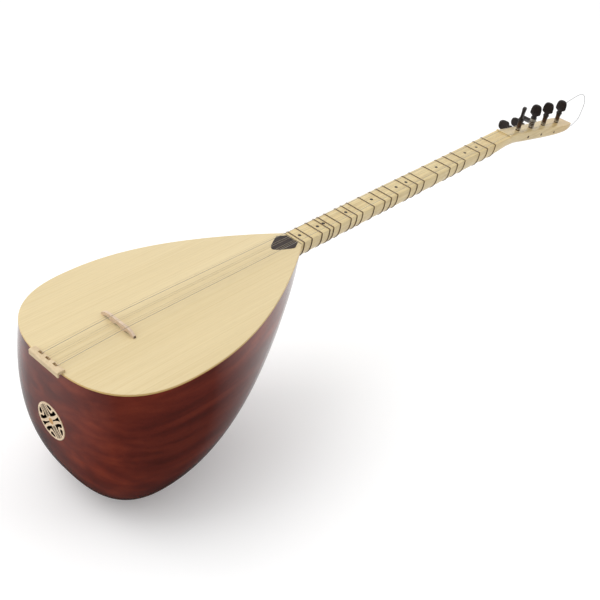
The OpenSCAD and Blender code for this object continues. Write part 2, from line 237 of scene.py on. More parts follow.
def skin(rings):
    """Points and faces of a closed skin.

    Quads join each ring to the next, and a fan to its middle point shuts each end. If the volume,
    the sum of a . (b x c) / 6 over the triangles, is negative, every face is turned over.
    """
    m, k, _ = rings.shape
    points = np.concatenate([rings.reshape(-1, 3), rings[[0, -1]].mean(axis=1)])
    i, j = np.meshgrid(np.arange(m - 1), np.arange(k), indexing="ij")
    n = (j + 1) % k
    quads = np.stack([i * k + j, i * k + n, (i + 1) * k + n, (i + 1) * k + j], -1)
    quads = quads.reshape(-1, 4)
    around = np.arange(k)
    after = (around + 1) % k
    start = np.stack([np.full(k, m * k), after, around], -1)
    end = np.stack([np.full(k, m * k + 1), (m - 1) * k + around, (m - 1) * k + after], -1)
    fans = np.concatenate([start, end])
    thirds = np.concatenate([quads[:, :3], quads[:, [0, 2, 3]], fans])
    a, b, c = (points[thirds[:, q]] for q in range(3))
    if np.sum(a * np.cross(b, c)) < 0:
        quads = quads[:, ::-1]
        fans = fans[:, ::-1]
    return points, quads, fans


def tube_rings(path, radius, reference, sides):
    """Circles along a path.

    At each point the circle lies square to the path's direction d, and is drawn from
    u = d x reference and w = d x u.
    """
    path = np.asarray(path, float)
    d = unit(np.gradient(path, axis=0))
    u = unit(np.cross(d, np.asarray(reference, float)))
    w = np.cross(d, u)
    angle = np.linspace(0, 2 * np.pi, sides, endpoint=False)[None, :, None]
    r = np.broadcast_to(np.asarray(radius, float), len(path))[:, None, None]
    return path[:, None] + r * (np.cos(angle) * u[:, None] + np.sin(angle) * w[:, None])


def domed(path, radius, reference, sides):
    """Circles along a path whose two ends close over in a quarter round."""
    path = np.asarray(path, float)
    d = unit(np.stack([path[0] - path[1], path[-1] - path[-2]]))
    turn = np.linspace(0, np.pi / 2, 5)[1:-1, None]
    first = path[0] + d[0] * radius * np.sin(turn)[::-1]
    last = path[-1] + d[1] * radius * np.sin(turn)
    line = np.concatenate([first, path, last])
    shrink = np.cos(turn[:, 0])
    sizes = np.concatenate([shrink[::-1], np.ones(len(path)), shrink]) * radius
    return tube_rings(line, sizes, reference, sides)


def catmull(points, steps):
    """Points on the smooth Catmull-Rom line through the given ones, that many to each span."""
    p = np.asarray(points, float)
    p = np.concatenate([p[:1], p, p[-1:]])
    a, b, c, d = (p[q : len(p) - 3 + q, None] for q in range(4))
    f = (np.arange(steps) / steps)[None, :, None]
    run = 2 * b + (c - a) * f + (2 * a - 5 * b + 4 * c - d) * f**2
    run = 0.5 * (run + (3 * b - a - 3 * c + d) * f**3)
    return np.concatenate([run.reshape(-1, 3), p[-1:]])


# ---- Making pieces ----


def piece(name, skins, material, body, nodes, sharp=40):
    """A mesh of one or more skins in millimetres, riding on its body in place of the CAD nodes."""
    points = []
    faces = []
    count = 0
    for p, quads, fans in skins:
        points.append(placed(p))
        faces += (quads + count).tolist() + (fans + count).tolist()
        count += len(p)
    mesh = bpy.data.meshes.new(name)
    mesh.from_pydata(np.concatenate(points).tolist(), [], faces)
    obj = bpy.data.objects.new(name, mesh)
    bpy.context.scene.collection.objects.link(obj)
    return dressed(obj, material, body, nodes, sharp)


def dressed(obj, material, body, nodes, sharp=40):
    """Gives a mesh its finish, its body and the CAD nodes that it stands for."""
    obj.data.materials.clear()
    obj.data.materials.append(material)
    soften(obj, sharp)
    if body:
        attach(obj, body)
        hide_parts(*nodes)
    return obj


def soften(obj, sharp):
    """Smooth shading, except across edges that turn by more than this many degrees."""
    obj.data.polygons.foreach_set("use_smooth", np.ones(len(obj.data.polygons), bool))
    obj.data.set_sharp_from_angle(angle=math.radians(sharp))
    obj.data.update()


def cut(obj, skins, sharp=40):
    """Takes the skins' shape out of a piece."""
    cutter = piece("cutter", skins, obj.data.materials[0], None, ())
    modifier = obj.modifiers.new("cut", "BOOLEAN")
    modifier.operation = "DIFFERENCE"
    modifier.solver = "EXACT"
    modifier.object = cutter
    graph = bpy.context.evaluated_depsgraph_get()
    mesh = bpy.data.meshes.new_from_object(obj.evaluated_get(graph))
    obj.modifiers.clear()
    obj.data = mesh
    bpy.data.objects.remove(cutter)
    soften(obj, sharp)


def eased_copy(node, name, material, body, width, sharp=40):
    """A CAD node's own shape with its edges rounded: a merged copy, then a bevel of that width."""
    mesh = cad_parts[node].data.copy()
    mesh.name = name
    shape = bmesh_of(mesh)
    shape.to_mesh(mesh)
    shape.free()
    obj = bpy.data.objects.new(name, mesh)
    bpy.context.scene.collection.objects.link(obj)
    bevel = obj.modifiers.new("edges", "BEVEL")
    bevel.width = width * MM
    bevel.segments = 2
    bevel.limit_method = "ANGLE"
    bevel.angle_limit = math.radians(35)
    return dressed(obj, material, body, [node], sharp)


def bmesh_of(mesh):
    """The mesh with its doubles merged and its flat faces joined."""
    shape = bmesh.new()
    shape.from_mesh(mesh)
    bmesh.ops.remove_doubles(shape, verts=shape.verts, dist=1e-6)
    bmesh.ops.dissolve_limit(
        shape, angle_limit=math.radians(1), verts=shape.verts, edges=shape.edges
    )
    return shape


# ---- Finishes ----


def finish(name, **surface):
    """A new material and its shader, with the numbers that are the same all over it."""
    material = bpy.data.materials.new(name)
    material.use_nodes = True
    shader = material.node_tree.nodes["Principled BSDF"]
    for socket, value in surface.items():
        shader.inputs[socket.replace("_", " ")].default_value = value
    return material, shader


def add(material, kind, inputs=(), **settings):
    """A node of that kind; an input is a number or another node's socket."""
    made = material.node_tree.nodes.new("ShaderNode" + kind)
    for key, value in settings.items():
        setattr(made, key, value)
    for key, value in dict(inputs).items():
        if isinstance(value, bpy.types.NodeSocket):
            material.node_tree.links.new(value, made.inputs[key])
        else:
            made.inputs[key].default_value = value
    return made


def mapped(material, scale, location=(0, 0, 0), turn=(0, 0, 0)):
    """Object coordinates, stretched, moved and turned."""
    where = add(material, "TexCoord").outputs["Object"]
    inputs = {"Vector": where, "Scale": scale, "Location": location, "Rotation": turn}
    return add(material, "Mapping", inputs).outputs["Vector"]


def noise(material, vector, scale, detail=4.0, rough=0.5, bend=0.0):
    """A cloudy pattern from 0 to 1."""
    inputs = {
        "Vector": vector,
        "Scale": scale,
        "Detail": detail,
        "Roughness": rough,
        "Distortion": bend,
    }
    return add(material, "TexNoise", inputs).outputs["Fac"]


def ramp(material, factor, *stops):
    """Colours along a factor, from (place, (r, g, b)) stops."""
    made = add(material, "ValToRGB", {"Fac": factor})
    band = made.color_ramp.elements
    while len(band) < len(stops):
        band.new(0.5)
    for element, (place, colour) in zip(band, stops):
        element.position = place
        element.color = (*colour, 1)
    return made.outputs["Color"]


def blended(material, factor, a, b, how="MIX"):
    """Two colours mixed by a factor."""
    made = add(material, "Mix", data_type="RGBA", blend_type=how)
    for key, value in ((0, factor), (6, a), (7, b)):
        if isinstance(value, bpy.types.NodeSocket):
            material.node_tree.links.new(value, made.inputs[key])
        else:
            made.inputs[key].default_value = value
    return made.outputs[2]


def ranged(material, value, low, high, to_low, to_high):
    """A number moved from one range to another, held at its ends."""
    inputs = {
        "Value": value,
        "From Min": low,
        "From Max": high,
        "To Min": to_low,
        "To Max": to_high,
    }
    return add(material, "MapRange", inputs).outputs["Result"]


def maths(material, how, a, b=0.0):
    """One sum on two numbers."""
    made = add(material, "Math", {0: a, 1: b}, operation=how)
    return made.outputs["Value"]


def lumpy(material, shader, height, strength, distance):
    """Bump from a height, onto the shader's normal."""
    inputs = {"Height": height, "Strength": strength, "Distance": distance * MM}
    bump = add(material, "Bump", inputs)
    material.node_tree.links.new(bump.outputs["Normal"], shader.inputs["Normal"])


def join(material, socket, shader, name):
    """Links a socket to one of the shader's own."""
    material.node_tree.links.new(socket, shader.inputs[name])


def grey(value):
    """A grey of that lightness."""
    return (value, value, value)


def bowl_lacquer():
    """Red-brown hardwood under a deep gloss: long streaks, soft blotches and fine pores."""
    material, shader = finish(
        "bowl_lacquer",
        Roughness=0.34,
        Specular_IOR_Level=0.15,
        Coat_Weight=1.0,
        Coat_Roughness=0.035,
        Coat_IOR=1.55,
    )
    streaks = noise(material, mapped(material, (1.1, 9.0, 20.0)), 2.4, 5.0, 0.55, 0.25)
    blotch = noise(material, mapped(material, (1.8, 4.0, 6.0)), 1.4, 2.0, 0.5, 0.3)
    fine = noise(material, mapped(material, (30.0, 420.0, 420.0)), 3.0, 3.0, 0.6)
    wood = ramp(
        material,
        streaks,
        (0.26, (0.085, 0.0080, 0.0030)),
        (0.45, (0.130, 0.0125, 0.0042)),
        (0.58, (0.180, 0.0210, 0.0068)),
        (0.76, (0.250, 0.0370, 0.0120)),
    )
    patches = ramp(material, blotch, (0.36, (0.66, 0.60, 0.56)), (0.64, (1.12, 1.1, 1.08)))
    shaded = blended(material, 0.85, wood, patches, "MULTIPLY")
    pores = ramp(material, fine, (0.36, grey(0.72)), (0.52, grey(1.0)))
    join(material, blended(material, 0.7, shaded, pores, "MULTIPLY"), shader, "Base Color")
    lumpy(material, shader, fine, 0.05, 0.1)
    return material


def soundboard_wood():
    """Pale softwood under satin lacquer: close grain lines, broad bands, and an amber edge."""
    material, shader = finish("soundboard_wood", Coat_Weight=0.25, Coat_Roughness=0.28)
    lines = noise(material, mapped(material, (0.9, 210.0, 6.0)), 2.6, 3.0, 0.6, 0.15)
    bands = noise(material, mapped(material, (0.5, 21.0, 1.0)), 2.0, 2.0, 0.5, 0.2)
    silk = noise(material, mapped(material, (26.0, 300.0, 30.0)), 2.4, 5.0, 0.6)
    wood = ramp(
        material,
        lines,
        (0.30, (0.655, 0.515, 0.275)),
        (0.50, (0.700, 0.565, 0.318)),
        (0.72, (0.725, 0.595, 0.345)),
    )
    tone = ramp(material, bands, (0.34, (0.955, 0.94, 0.90)), (0.64, (1.02, 1.02, 1.02)))
    toned = blended(material, 0.85, wood, tone, "MULTIPLY")
    fibres = ramp(material, silk, (0.3, grey(0.93)), (0.7, grey(1.03)))
    toned = blended(material, 0.6, toned, fibres, "MULTIPLY")
    height = add(material, "SeparateXYZ", {"Vector": mapped(material, (1, 1, 1))})
    edge = ranged(material, height.outputs["Z"], BOARD_HIGH.z - 0.0011, BOARD_HIGH.z, 1.0, 0.0)
    amber = (0.62, 0.40, 0.13, 1)
    join(material, blended(material, edge, toned, amber), shader, "Base Color")
    join(material, ranged(material, silk, 0.3, 0.7, 0.36, 0.48), shader, "Roughness")
    lumpy(material, shader, lines, 0.06, 0.15)
    return material


def neck_wood(name, light, dark, warm, warm_from):
    """Yellow hardwood: long fibres, short pores, and a warmer tone past a place along it."""
    material, shader = finish(name, Coat_Weight=0.3, Coat_Roughness=0.2)
    fibres = noise(material, mapped(material, (2.2, 75.0, 75.0)), 3.0, 5.0, 0.6, 0.3)
    pores = noise(material, mapped(material, (45.0, 700.0, 700.0)), 2.0, 2.0, 0.5)
    figure = noise(material, mapped(material, (9.0, 16.0, 16.0)), 2.0, 3.0, 0.5, 0.5)
    wood = ramp(material, fibres, (0.32, dark), (0.68, light))
    shade = ramp(material, figure, (0.35, (0.92, 0.90, 0.86)), (0.65, (1.03, 1.03, 1.02)))
    wood = blended(material, 0.8, wood, shade, "MULTIPLY")
    flecks = ramp(material, pores, (0.30, grey(0.80)), (0.42, grey(1.0)))
    wood = blended(material, 0.55, wood, flecks, "MULTIPLY")
    along = add(material, "SeparateXYZ", {"Vector": mapped(material, (1, 1, 1))})
    tone = ranged(material, along.outputs["X"], warm_from, warm_from + 0.13, 0.0, 0.75)
    wood = blended(material, tone, wood, warm, "MULTIPLY")
    join(material, wood, shader, "Base Color")
    join(material, ranged(material, fibres, 0.3, 0.7, 0.30, 0.42), shader, "Roughness")
    lumpy(material, shader, pores, 0.08, 0.1)
    return material


def pale_hardwood(name, light, dark):
    """Close-grained pale wood with small flecks; returns the colour's socket too."""
    material, shader = finish(name, Coat_Weight=0.15, Coat_Roughness=0.3)
    grain = noise(material, mapped(material, (60.0, 60.0, 420.0)), 2.2, 4.0, 0.6, 0.3)
    cloud = noise(material, mapped(material, (40.0, 40.0, 40.0)), 2.0, 3.0, 0.5)
    wood = ramp(material, grain, (0.3, dark), (0.7, light))
    clouds = ramp(material, cloud, (0.3, (0.88, 0.85, 0.80)), (0.7, (1.04, 1.03, 1.02)))
    wood = blended(material, 0.6, wood, clouds, "MULTIPLY")
    join(material, wood, shader, "Base Color")
    join(material, ranged(material, cloud, 0.3, 0.7, 0.38, 0.52), shader, "Roughness")
    lumpy(material, shader, grain, 0.08, 0.1)
    return material, shader, wood


def plain_pale(name, tones):
    """Pale wood of one tone all over."""
    material, _, _ = pale_hardwood(name, *tones)
    return material


def facing_out(material):
    """The piece's own normal, and how far it turns from lying along X: 1 across, 0 along."""
    normal = add(material, "TexCoord").outputs["Normal"]
    parts = add(material, "SeparateXYZ", {"Vector": normal}).outputs
    along = maths(material, "ABSOLUTE", parts["X"])
    return parts, ranged(material, along, 0.45, 0.75, 1.0, 0.0)


def rosette_wood(middle):
    """Pale wood with an amber spot in the middle, and painted shade on the walls of its openings,
    up to the rim.
    """
    material, shader, wood = pale_hardwood("rosette_wood", *ROSE_TONES)
    where = add(material, "TexCoord").outputs["Object"]
    away = add(material, "VectorMath", {0: where, 1: middle}, operation="DISTANCE")
    away = away.outputs["Value"]
    spot = ROSE_SPOT_R * MM
    near = ranged(material, away, spot, spot * 1.15, 1.0, 0.0)
    wood = blended(material, near, wood, ROSE_SPOT)
    rim = ROSE_R * MM
    inside = ranged(material, away, rim - 1.2 * MM, rim - 0.8 * MM, 1.0, 0.0)
    _, steep = facing_out(material)
    # Painted shade: the walls of the openings, inside the rim, are darkened as if in shade
    painted_shade = maths(material, "MULTIPLY", steep, inside)
    join(material, blended(material, painted_shade, wood, (*ROSE_PAINTED_SHADE, 1)), shader, "Base Color")
    return material


def bridge_wood():
    """Pale wood with painted shade on its end faces and in its arches."""
    material, shader, wood = pale_hardwood("bridge_wood", *BRIDGE_TONES)
    parts, steep = facing_out(material)
    level = ranged(material, parts["Z"], 0.25, 0.5, 1.0, 0.0)
    # Painted shade: the end faces and the undersides of the arches are darkened as if in shade
    painted_shade = maths(material, "MULTIPLY", steep, level)
    join(material, blended(material, painted_shade, wood, (*BRIDGE_PAINTED_SHADE, 1)), shader, "Base Color")
    return material


def dark_hardwood(name, light, dark, gloss):
    """Near-black hardwood with brown streaks along its fibres."""
    material, shader = finish(name, Coat_Weight=0.1, Coat_Roughness=gloss, Specular_IOR_Level=0.25)
    grain = noise(material, mapped(material, (30.0, 330.0, 330.0)), 2.4, 5.0, 0.62, 0.3)
    join(material, ramp(material, grain, (0.36, dark), (0.70, light)), shader, "Base Color")
    rough = ranged(material, grain, 0.3, 0.7, gloss + 0.1, gloss + 0.26)
    join(material, rough, shader, "Roughness")
    lumpy(material, shader, grain, 0.1, 0.1)
    return material


def peg_wood():
    """Stained peg: near-black paddle over a shaft polished brown where the string has worn it."""
    material, shader = finish(
        "peg_wood", Coat_Weight=0.08, Coat_Roughness=0.3, Specular_IOR_Level=0.22
    )
    grain = noise(material, mapped(material, (340.0, 340.0, 60.0)), 2.2, 5.0, 0.62, 0.2)
    black = ramp(material, grain, (0.34, (0.006, 0.004, 0.004)), (0.72, (0.028, 0.018, 0.015)))
    brown = ramp(material, grain, (0.36, (0.022, 0.010, 0.004)), (0.66, (0.115, 0.052, 0.018)))
    along = add(material, "Attribute", attribute_name="along").outputs["Fac"]
    uneven = maths(material, "ADD", along, ranged(material, grain, 0.3, 0.7, -3.0, 3.0))
    worn = ranged(material, uneven, 11.0, 19.0, 1.0, 0.0)
    join(material, blended(material, worn, black, brown), shader, "Base Color")
    join(material, ranged(material, grain, 0.3, 0.7, 0.32, 0.5), shader, "Roughness")
    lumpy(material, shader, grain, 0.15, 0.15)
    return material


def fret_line():
    """Brown nylon line, a little uneven in tone."""
    material, shader = finish("fret_line", Coat_Weight=0.4, Coat_Roughness=0.15)
    tone = noise(material, mapped(material, (300.0, 160.0, 160.0)), 2.0, 3.0, 0.5)
    brown = ramp(material, tone, (0.3, (0.060, 0.026, 0.006)), (0.7, (0.16, 0.076, 0.018)))
    join(material, brown, shader, "Base Color")
    join(material, ranged(material, tone, 0.3, 0.7, 0.28, 0.42), shader, "Roughness")
    return material


def wire(name, light, dark, rough, ribs=0.0):
    """Drawn metal with faint lengthwise tone, and the ribs of a wound string where asked."""
    material, shader = finish(name, Metallic=1.0)
    tone = noise(material, mapped(material, (60.0, 900.0, 900.0)), 2.0, 3.0, 0.5)
    join(material, ramp(material, tone, (0.3, dark), (0.7, light)), shader, "Base Color")
    join(material, ranged(material, tone, 0.3, 0.7, rough, rough + 0.14), shader, "Roughness")
    if ribs:
        vector = mapped(material, (1, 1, 1))
        inputs = {"Vector": vector, "Scale": ribs, "Distortion": 0.0}
        rib = add(material, "TexWave", inputs, bands_direction="X").outputs["Fac"]
        lumpy(material, shader, rib, 0.6, 0.05)
    return material


def loose_wire():
    """Dull dark grey wire, a little uneven in tone."""
    material, shader = finish("loose_wire", Specular_IOR_Level=0.3)
    tone = noise(material, mapped(material, (400.0, 400.0, 400.0)), 2.0, 3.0, 0.5)
    colour = ramp(material, tone, (0.3, (0.030, 0.031, 0.034)), (0.7, (0.055, 0.057, 0.061)))
    join(material, colour, shader, "Base Color")
    join(material, ranged(material, tone, 0.3, 0.7, 0.3, 0.42), shader, "Roughness")
    return material


# ---- Camera ----


def set_camera():
    """The camera, from its place and three turns: round the vertical, down, and about its axis."""
    place = Vector(placed(CAMERA_AT))
    heading = CAMERA_HEADING
    dip = CAMERA_DIP
    lean = CAMERA_LEAN
    ahead = Vector(
        (math.cos(dip) * math.cos(heading), math.cos(dip) * math.sin(heading), -math.sin(dip))
    )
    level = ahead.cross(Vector((0, 0, 1))).normalized()
    up = level.cross(ahead)
    right = level * math.cos(lean) + up * math.sin(lean)
    top = up * math.cos(lean) - level * math.sin(lean)
    data = bpy.data.cameras.new("camera")
    data.sensor_width = 36.0
    data.lens = CAMERA_LENS
    data.shift_x, data.shift_y = CAMERA_SHIFT
    data.clip_end = 100.0
    camera = bpy.data.objects.new("camera", data)
    bpy.context.scene.collection.objects.link(camera)
    turn = Matrix((right, top, -ahead)).transposed()
    camera.matrix_world = Matrix.Translation(place) @ turn.to_4x4()
    bpy.context.scene.camera = camera


# ---- Head axes ----


def on_head(points):
    """Points along the head, across it and off its face, in the tail's axes."""
    s, y, n = np.moveaxis(np.asarray(points, float), -1, 0)
    x = HEAD_X + s * math.cos(TILT) + n * math.sin(TILT)
    return stacked(x, y, -s * math.sin(TILT) + n * math.cos(TILT))


def on_peg(k, points, turn=0.0):
    """Points in peg k's own axes, Z out of the wood along the peg, in the tail's axes."""
    x, y, z = np.moveaxis(np.asarray(points, float), -1, 0)
    c = math.cos(math.radians(turn))
    s = math.sin(math.radians(turn))
    u = x * c - y * s
    v = x * s + y * c
    if k < FRONT_PEGS:
        return on_head(stacked(FRONT_S[k] + u, v, z))
    q = k - FRONT_PEGS
    return on_head(stacked(SIDE_S[q] + u, SIDE_Y[q] + z, -SIDE_N - v))


def head_point(s, y, n):
    """One point on the head, in the tail's axes."""
    return on_head([s, y, n])


# ---- Loose string end ----


def make_loose_string(material):
    """The free end of the last peg's string: a tube along the smooth line through its points."""
    through = [
        (1179, 4, -29),
        (1184, 5, -21),
        (1191, 3.5, -10.5),
        (1201, 0, -1),
        (1215, -2, 3),
        (1230, -2, 4),
        (1246, -3, 4),
        (1258, -4, -2),
        (1264, -5, -13),
        (1264, -6, -24),
        (1256, -7, -43),
        (1248, -8, -50),
        (1236, -8, -55),
        (1226, -8, -58),
        (1217, -7, -57.5),
        (1210, -7, -54.5),
    ]
    path = catmull(through, 8)
    rings = domed(path, LOOSE_D / 2, (0.1, 1, 0.05), 12)
    obj = piece(
        "loose_string_end",
        [skin(rings)],
        material,
        "instrument",
        ["loose_string"],
    )


# ---- Bowl and soundboard ----


def outline(x, end):
    """Half width of the bowl's outline at x.

    Behind the widest place it is a superellipse; ahead of it a cosine to a power, down to the end's
    half width.
    """
    back = BOWL_HALF * superellipse((WIDE_X - x) / WIDE_X, OUTLINE_E)
    angle = np.clip((x - WIDE_X) / (BOWL_LEN - WIDE_X), 0, 1) * np.pi / 2
    front = end + (BOWL_HALF - end) * np.maximum(0, np.cos(angle)) ** TAPER_E
    return np.where(x < WIDE_X, back, front)


def bowl_rings(t, cols, wall, nose, depth):
    """Level rings of the bowl at shares t of its depth.

    Each runs from the tail to the neck on one side and back on the other: its ends follow two
    superellipses of t, and its half width is the outline times a swollen superellipse of t.
    """
    t = np.asarray(t, float)[:, None]
    s = (np.arange(cols + 1) / cols)[None, :] ** 1.8
    swell = superellipse(t, ROUND_E) * (1 + SIDE_SWELL * 4 * t * (1 - t))
    tail = DEEP_X - DEEP_X * superellipse(t, TAIL_E) - TAIL_SWELL * 4 * t * (1 - t)
    rise = (t - BOW_FLAT) / (1 - BOW_FLAT)
    bow = DEEP_X + (BOWL_LEN - DEEP_X) * superellipse(rise, BOW_E)
    half = swell * outline(s * BOWL_LEN, JOIN_HALF * (1 - t) ** 3)
    x = tail + wall + (bow - tail - wall - nose * (1 - t) ** 6) * s
    y = np.maximum(0.4, half - wall)
    z = -(BOARD_T + (depth - BOARD_T) * t) + 0 * s
    side = stacked(x, y, z)
    return np.concatenate([side, (side * [1, -1, 1])[:, ::-1]], axis=1)


def make_bowl(material):
    """Outer skin from the bottom up, rim, and inner skin back down, with the sound hole cut out."""
    turn = np.linspace(0, np.pi / 2, BOWL_ROWS)[:-1]
    t = np.sin(turn) ** 0.85
    t = np.concatenate([t, [0.99996]])
    outer = bowl_rings(t, BOWL_COLS, 0, 0, BOWL_DEPTH)
    depth = BOWL_DEPTH - BOWL_WALL
    inner = bowl_rings(t[::3], INNER_COLS, BOWL_WALL, NOSE - BOWL_WALL, depth)
    inner = resampled(inner, outer.shape[1])
    rings = np.concatenate([outer[::-1], inner])
    bowl = piece(
        "bowl_shell", [skin(rings)], material, "instrument", ["bowl"], sharp=35
    )
    cut(bowl, [skin(bar_x(-20, 20, ROSE_R + 0.1, 0, -ROSE_Z, 96))], sharp=35)


def resampled(rings, many):
    """Rings with that many points each, spread evenly over the old points."""
    k = rings.shape[1]
    old = np.linspace(0, 1, k)
    new = np.linspace(0, 1, many)
    i = np.clip(np.searchsorted(old, new, side="right") - 1, 0, k - 2)
    f = ((new - old[i]) * (k - 1))[None, :, None]
    return rings[:, i] * (1 - f) + rings[:, i + 1] * f


def bar_x(x0, x1, radius, y, z, sides):
    """Circles at the two ends of a round bar that lies along X."""
    a = np.linspace(0, 2 * np.pi, sides, endpoint=False)[None, :]
    x = np.array([x0, x1], float)[:, None]
    return stacked(x, y + radius * np.cos(a), z + radius * np.sin(a))


def board_ring(inset, z):
    """The soundboard's outline drawn in by an inset, at a height."""
    s = (np.arange(161) / 160) ** 1.8
    x = inset + (BOWL_LEN - 2 * inset) * s
    y = np.maximum(0.4, outline(s * BOWL_LEN, JOIN_HALF) - inset)
    side = stacked(x, y, z)
    return np.concatenate([side, (side * [1, -1, 1])[::-1]])


def flat_ended(rings):
    """Points and faces of a closed skin whose two ends are each one flat face."""
    points, quads, _ = skin(rings)
    k = rings.shape[1]
    first = np.arange(k)
    last = first + (len(rings) - 1) * k
    if quads[0, 0] < quads[0, 2]:
        first = first[::-1]
    else:
        last = last[::-1]
    return points[: len(rings) * k], quads, [first, last]


def make_soundboard(material):
    """Outline rings up the edge and over the rounded rim, shut by a flat face above and below."""
    turn = np.linspace(0, np.pi / 2, 6)
    rim = 0.9
    insets = np.concatenate([[0.0], rim * (1 - np.cos(turn))])
    heights = np.concatenate([[0.02 - BOARD_T], rim * (np.sin(turn) - 1)])
    rings = np.stack([board_ring(a, b) for a, b in zip(insets, heights)])
    points, quads, ends = flat_ended(rings)
    mesh = bpy.data.meshes.new("soundboard_top")
    faces = quads.tolist() + [end.tolist() for end in ends]
    mesh.from_pydata(placed(points).tolist(), [], faces)
    board = bpy.data.objects.new("soundboard_top", mesh)
    bpy.context.scene.collection.objects.link(board)
    dressed(board, material, "instrument", ["soundboard"], sharp=30)


# ---- Neck and head ----


def dee(w, d, e, n, edge):
    """A D section, flat on top.

    Below, y is w cos a and z is -d sin a, each to the power 2/e; a small arc of the edge's radius
    rounds the two top corners.
    """
    a = np.linspace(0, np.pi, n)
    y = w * power(np.cos(a), 2 / e)
    z = -edge - (d - edge) * np.abs(np.sin(a)) ** (2 / e)
    c = np.linspace(0, np.pi / 2, 5)[:-1]
    right_y = w - edge + edge * np.sin(c)
    right_z = edge * (np.cos(c) - 1)
    return np.stack(
        [
            np.concatenate([right_y, y, -right_y[::-1]]),
            np.concatenate([right_z, z, right_z[::-1]]),
        ],
        -1,
    )


def neck_half(x):
    """Half width of the neck at x, straight from the heel to the nut."""
    return HEEL_HALF + (NECK_HALF - HEEL_HALF) * (x - BOWL_LEN) / (HEAD_X - BOWL_LEN)


def neck_deep(x):
    """Depth of the neck at x: a slow taper, then a quicker one below the nut."""
    return np.interp(x, [BOWL_LEN, DEEP_END_X, HEAD_X], [HEEL_DEEP, NECK_DEEP, NUT_DEEP])


def make_neck(material, dots):
    """D sections from the heel to the nut, with pockets for the dots and the nut."""
    x = np.concatenate([np.linspace(BOWL_LEN + 0.1, 915, 25), np.linspace(920, HEAD_X, 16)])
    rings = []
    for at in x:
        section = dee(neck_half(at), neck_deep(at), 2.2, 49, 0.8)
        rings.append(stacked(at, section[:, 0], section[:, 1]))
    neck = piece(
        "neck_shaft", [skin(np.stack(rings))], material, "instrument", ["neck"]
    )
    pockets = [skin(bar_z(at, 0, -1, 3, DOT_HOLE_R, 24)) for at in dots]
    pockets.append(skin(box_rings((NUT_X, -30, -2), (NUT_X + NUT_W, 30, 3))))
    cut(neck, pockets)


def bar_z(x, y, z0, z1, radius, sides):
    """Circles at the two ends of a round bar that stands along Z."""
    a = np.linspace(0, 2 * np.pi, sides, endpoint=False)[None, :]
    z = np.array([[z0], [z1]], float)
    return stacked(x + radius * np.cos(a), y + radius * np.sin(a), z)


def box_rings(low, high):
    """The two end squares of a box."""
    y = np.array([low[1], high[1], high[1], low[1]], float)[None]
    z = np.array([low[2], low[2], high[2], high[2]], float)[None]
    return stacked(np.array([[low[0]], [high[0]]], float), y, z)


def make_head(material):
    """Sections along the head, turned from upright at the nut to square with the face, rounded off
    at the tip, with a tapered hole for each peg and the small hole at the tip."""
    place = [0.02, 22, 60, 110, 160, 205, 222, 234, 239.5, HEAD_LEN]
    half = [16.4, 15.2, 14.9, 16, 17.6, 18.7, 17.8, 14.8, 11, 5.5]
    deep = [25.5, 21, 20.5, 20.5, 20, 17.5, 15, 13, 11.8, 10.4]
    bulge = [2.3, 3, 4, 4.5, 4.5, 4.2, 4, 3.4, 3.1, 3]
    s = np.concatenate([np.linspace(0.02, 222, 58), np.linspace(224, HEAD_LEN, 22)])
    w = eased(s, place, half)
    d = eased(s, place, deep)
    e = eased(s, place, bulge)
    lean = TILT * np.clip(s / 22, 0, 1)
    drop = 1.6 * np.clip((s - 232) / 10, 0, 1) ** 2
    rings = []
    for q in range(len(s)):
        section = dee(w[q], d[q], e[q], 41, 0.9)
        n = section[:, 1] - drop[q] + drop[q] * 0.8 * (section[:, 1] < -6)
        x = HEAD_X + s[q] * math.cos(TILT) + n * math.sin(lean[q])
        z = -s[q] * math.sin(TILT) + n * math.cos(lean[q])
        rings.append(stacked(x, section[:, 0], z))
    head = piece(
        "head_block", [skin(np.stack(rings))], material, "instrument", ["headstock"]
    )
    holes = [skin(peg_hole(k)) for k in range(PEGS)]
    top = on_head(TIP_HOLE)
    out = top + 40 * np.array([math.sin(TIP_HOLE_TURN), 0.07, math.cos(TIP_HOLE_TURN)])
    hole = np.stack([top, out])
    holes.append(skin(tube_rings(hole, TIP_HOLE_R, (0, 1, 0), 24)))
    cut(head, holes)


def peg_hole(k):
    """Two circles: a peg's taper with a little room, longer than the wood is thick."""
    z = np.array([-PEG_LEN[k] - 6, 6.0])[:, None]
    a = np.linspace(0, 2 * np.pi, 40, endpoint=False)[None]
    r = PEG_R + PEG_SLOPE * z + PEG_GAP
    return on_peg(k, stacked(r * np.cos(a), r * np.sin(a), z))


# ---- Frets ----


def fret_places():
    """Distances of the frets from the tail: the nut less a share of FRET_LEN for each ratio."""
    ratio = np.array(
        [
            18 / 17,
            12 / 11,
            9 / 8,
            81 / 68,
            27 / 22,
            81 / 64,
            4 / 3,
            24 / 17,
            16 / 11,
            3 / 2,
            27 / 17,
            18 / 11,
            27 / 16,
            16 / 9,
            32 / 17,
            64 / 33,
            2,
            36 / 17,
            11 / 5,
            9 / 4,
            40 / 17,
            5 / 2,
            21 / 8,
        ]
    )
    return NUT_X - FRET_LEN * (1 - 1 / ratio)


